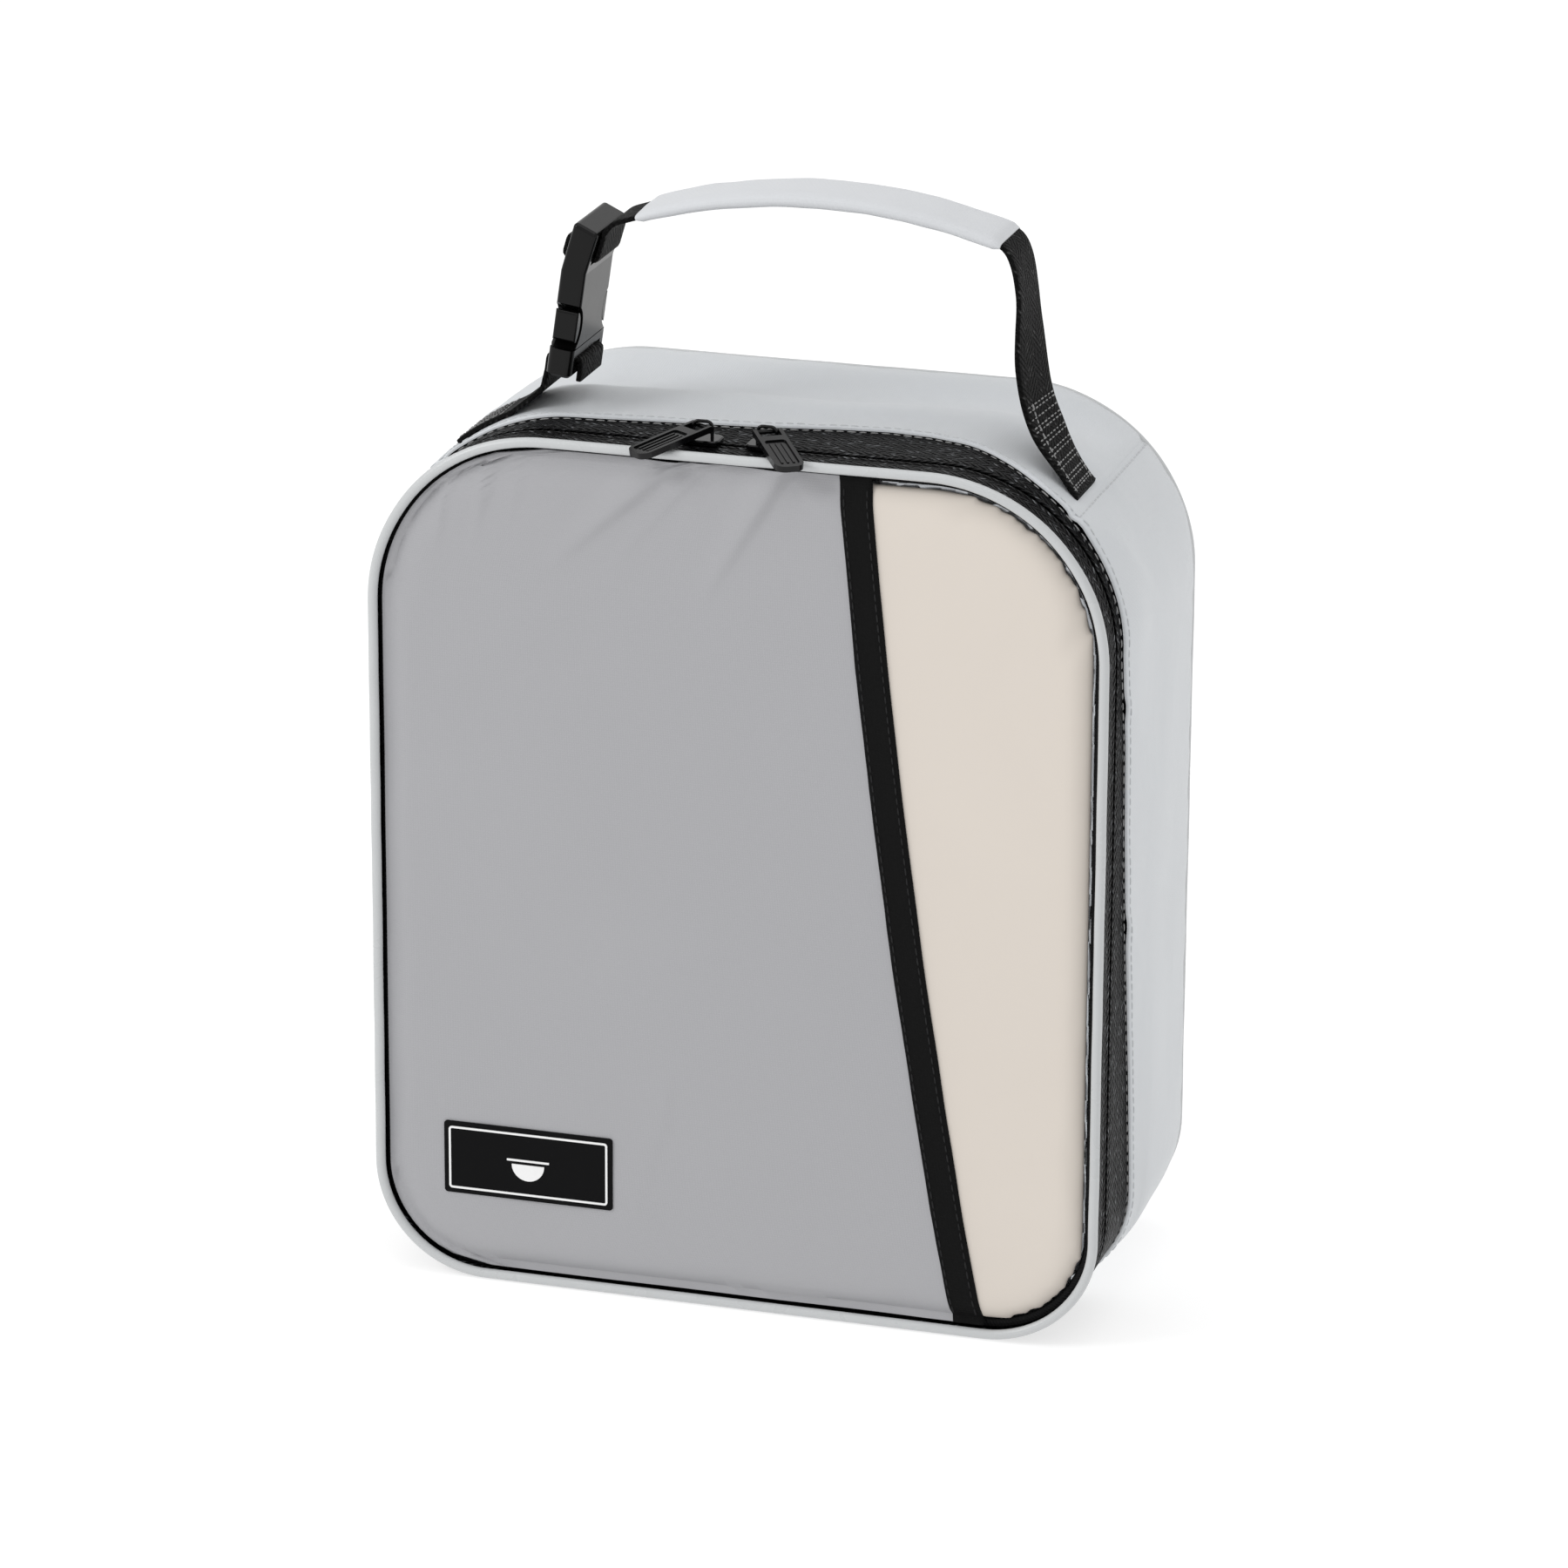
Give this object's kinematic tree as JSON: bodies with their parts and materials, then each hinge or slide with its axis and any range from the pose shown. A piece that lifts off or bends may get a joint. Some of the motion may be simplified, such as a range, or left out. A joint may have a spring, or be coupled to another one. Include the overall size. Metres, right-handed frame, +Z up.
{
  "type": "insulated lunch bag",
  "caption": "Soft insulated lunch bag with a zip-round front door, slip pocket, piped edges and a webbing handle with a side-release buckle.",
  "frame": {"origin": "centre of the base, on the surface that the bag stands on", "axes": "+X to the right as seen from the front, +Y towards the back, +Z up"},
  "size_m": [0.22, 0.113, 0.3294],
  "materials": {
    "body_cloth": "light grey coated polyester with a fine sheen",
    "pocket_cloth": "mid-grey coated polyester",
    "panel_cloth": "warm beige coated polyester",
    "piping": "satin light grey cloth over a round cord",
    "black_webbing": "ribbed black polypropylene webbing",
    "black_binding": "flat black woven binding tape",
    "zip_tape": "black woven polyester tape",
    "zip_coil": "black nylon coil",
    "foam": "white closed-cell insulating foam",
    "foil_lining": "silver-grey wipe-clean lining film",
    "lining_binding": "black non-woven seam binding",
    "black_plastic": "moulded black acetal, glossy",
    "zip_metal": "black enamelled zinc",
    "grip_cloth": "light grey coated polyester",
    "label_rubber": "soft moulded black patch",
    "label_print": "raised off-white motif"
  },
  "bodies": {
    "shell": {"gusset_top": "body_cloth", "gusset_lower": "body_cloth", "back_panel": "body_cloth", "back_piping": "piping", "gusset_foam": "foam", "back_foam": "foam", "lining_tub": "foil_lining", "opening_binding": "lining_binding", "zip_tape_body": "zip_tape", "zip_coil_body": "zip_coil", "zip_end_tabs": "zip_tape", "hinge_strip": "black_binding", "handle_anchor_left": "black_webbing", "handle_anchor_right": "black_webbing"},
    "door": {"front_panel": "panel_cloth", "pocket_panel": "pocket_cloth", "pocket_binding": "black_binding", "label_patch": "label_rubber", "label_motif": "label_print", "front_piping": "piping", "front_foam": "foam", "front_lining": "foil_lining", "door_binding": "lining_binding", "zip_tape_door": "zip_tape", "zip_coil_door": "zip_coil"},
    "slider_left": {"slider_left": "zip_metal", "slider_bail_left": "zip_metal"},
    "slider_right": {"slider_right": "zip_metal", "slider_bail_right": "zip_metal"},
    "pull_left": {"zip_pull_left": "black_plastic"},
    "pull_right": {"zip_pull_right": "black_plastic"},
    "handle": {"handle_webbing": "black_webbing", "grip_padding": "foam", "grip_sleeve": "grip_cloth", "lower_webbing": "black_webbing", "buckle_female": "black_plastic", "buckle_male": "black_plastic"},
    "buckle_arm_front": {"buckle_arm_front": "black_plastic"},
    "buckle_arm_rear": {"buckle_arm_rear": "black_plastic"}
  },
  "joints": [
    {"name": "door_hinge", "type": "hinge", "parent": "shell", "child": "door", "pos_m": [0, -0.0525, 0], "axis": [1, 0, 0], "range_deg": [0, 90]},
    {"name": "slider_left_travel", "type": "slide", "parent": "door", "child": "slider_left", "axis": [-1, 0, 0], "range_m": [0, 0.036]},
    {"name": "slider_right_travel", "type": "slide", "parent": "door", "child": "slider_right", "axis": [1, 0, 0], "range_m": [0, 0.04]},
    {"name": "pull_left_swing", "type": "hinge", "parent": "slider_left", "child": "pull_left", "pos_m": [-0.013, -0.0385, 0.26395], "axis": [-0.829, 0.5592, 0], "range_deg": [0, 185]},
    {"name": "pull_right_swing", "type": "hinge", "parent": "slider_right", "child": "pull_right", "pos_m": [0.006, -0.0385, 0.26395], "axis": [-0.8387, -0.5446, 0], "range_deg": [0, 185]},
    {"name": "handle_fold", "type": "hinge", "parent": "shell", "child": "handle", "pos_m": [0, -0.012, 0.27], "axis": [1, 0, 0], "range_deg": [-38, 38], "stiffness_Nm_per_rad": 0.06},
    {"name": "buckle_press_front", "type": "hinge", "parent": "handle", "child": "buckle_arm_front", "pos_m": [-0.05896, -0.0213, 0.28071], "axis": [-0.9903, 0, 0.1392], "range_deg": [0, 7], "stiffness_Nm_per_rad": 0.6},
    {"name": "buckle_press_rear", "type": "hinge", "parent": "handle", "child": "buckle_arm_rear", "pos_m": [-0.05896, -0.0027, 0.28071], "axis": [0.9903, 0, -0.1392], "range_deg": [0, 7], "stiffness_Nm_per_rad": 0.6}
  ]
}
